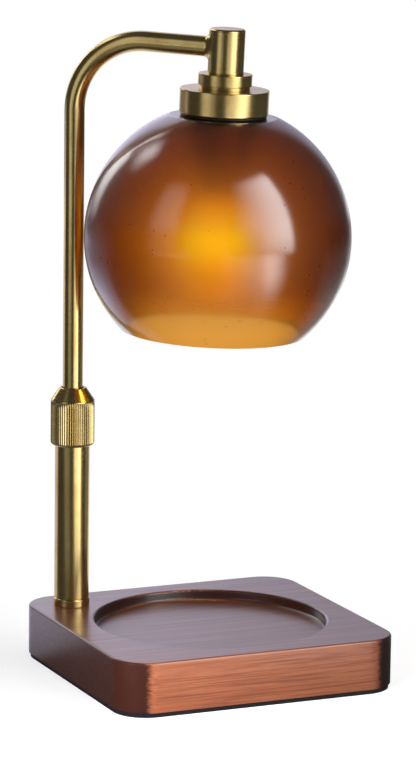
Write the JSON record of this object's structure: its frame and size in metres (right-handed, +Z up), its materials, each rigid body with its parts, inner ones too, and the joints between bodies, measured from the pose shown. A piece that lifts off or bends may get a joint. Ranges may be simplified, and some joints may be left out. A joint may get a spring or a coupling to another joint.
{
  "type": "candle warmer lamp",
  "caption": "Table lamp that melts a candle from above: wooden base with a round recess, brass post that slides and swivels, amber glass globe on a bent arm.",
  "frame": {"origin": "on the table under the centre of the base, at the underside of its pad", "axes": "+Z up, +X to the right along the front edge, +Y to the back; the post stands at the back left corner"},
  "size_m": [0.152, 0.145, 0.3317],
  "materials": {
    "wood": "semi-gloss reddish-brown stain over straight grain",
    "pad": "matt near-black foam rubber",
    "satin_brass": "satin brushed, thin clear lacquer",
    "turned_brass": "fine turned finish",
    "knurled_brass": "straight knurl, bright cone",
    "zinc_steel": "zinc-plated",
    "amber_glass": "amber, lightly frosted, glossy outside, fine seeds",
    "gasket": "matt black",
    "black_plastic": "moulded, matt",
    "nylon": "natural nylon",
    "lead_jacket": "heat-proof sleeve over the conductors",
    "ceramic": "unglazed white steatite",
    "contact_metal": "nickel-plated",
    "reflector": "facetted, bright inside",
    "bulb_glass": "clear pressed glass"
  },
  "bodies": {
    "base": {"wooden_base": "wood", "base_pad": "pad", "cord_inlet_bushing": "black_plastic", "supply_lead": "lead_jacket", "base_stud": "zinc_steel", "stud_washer": "zinc_steel", "stud_nut": "zinc_steel", "foot_collar": "satin_brass", "lower_tube": "satin_brass", "clamp_seat": "turned_brass"},
    "guide": {"guide_bush": "nylon"},
    "arm": {"arm_tube": "satin_brass", "tube_retainers": "zinc_steel", "head_lead": "lead_jacket", "head_hub": "satin_brass", "hub_cap": "satin_brass", "hub_nipple": "zinc_steel", "shade_collar": "satin_brass", "socket_cup": "satin_brass", "nipple_nut": "zinc_steel", "shade_gasket": "gasket", "glass_shade": "amber_glass", "inner_gasket": "gasket", "shade_ring": "turned_brass", "holder_sleeve": "turned_brass", "holder_ceramic": "ceramic", "holder_contacts": "contact_metal"},
    "clamp_ring": {"split_ring": "nylon"},
    "clamp_nut": {"clamp_nut": "knurled_brass"},
    "bulb": {"bulb_base": "ceramic", "bulb_pins": "contact_metal", "bulb_reflector": "reflector", "bulb_lens": "bulb_glass", "bulb_capsule": "bulb_glass"}
  },
  "joints": [
    {"name": "height_slide", "type": "slide", "parent": "base", "child": "guide", "axis": [0, 0, 1], "range_m": [-0.045, 0]},
    {"name": "arm_swivel", "type": "hinge", "parent": "guide", "child": "arm", "pos_m": [-0.055, 0.051, 0.1], "axis": [0, 0, 1], "range_deg": [-90, 90]},
    {"name": "ring_rise", "type": "slide", "parent": "base", "child": "clamp_ring", "axis": [0, 0, 1], "range_m": [0, 0.001]},
    {"name": "nut_turn", "type": "hinge", "parent": "clamp_ring", "child": "clamp_nut", "pos_m": [-0.055, 0.051, 0.128], "axis": [0, 0, 1], "range_deg": [0, 360]},
    {"name": "bulb_twist", "type": "hinge", "parent": "arm", "child": "bulb", "pos_m": [0.00424, -0.00424, 0.32167], "axis": [0.0255, -0.0238, 0.9994], "range_deg": [0, 30]}
  ],
  "couplings": [
    {"joint": "nut_turn", "follows": "ring_rise", "rad_per_m": 6283.2}
  ]
}
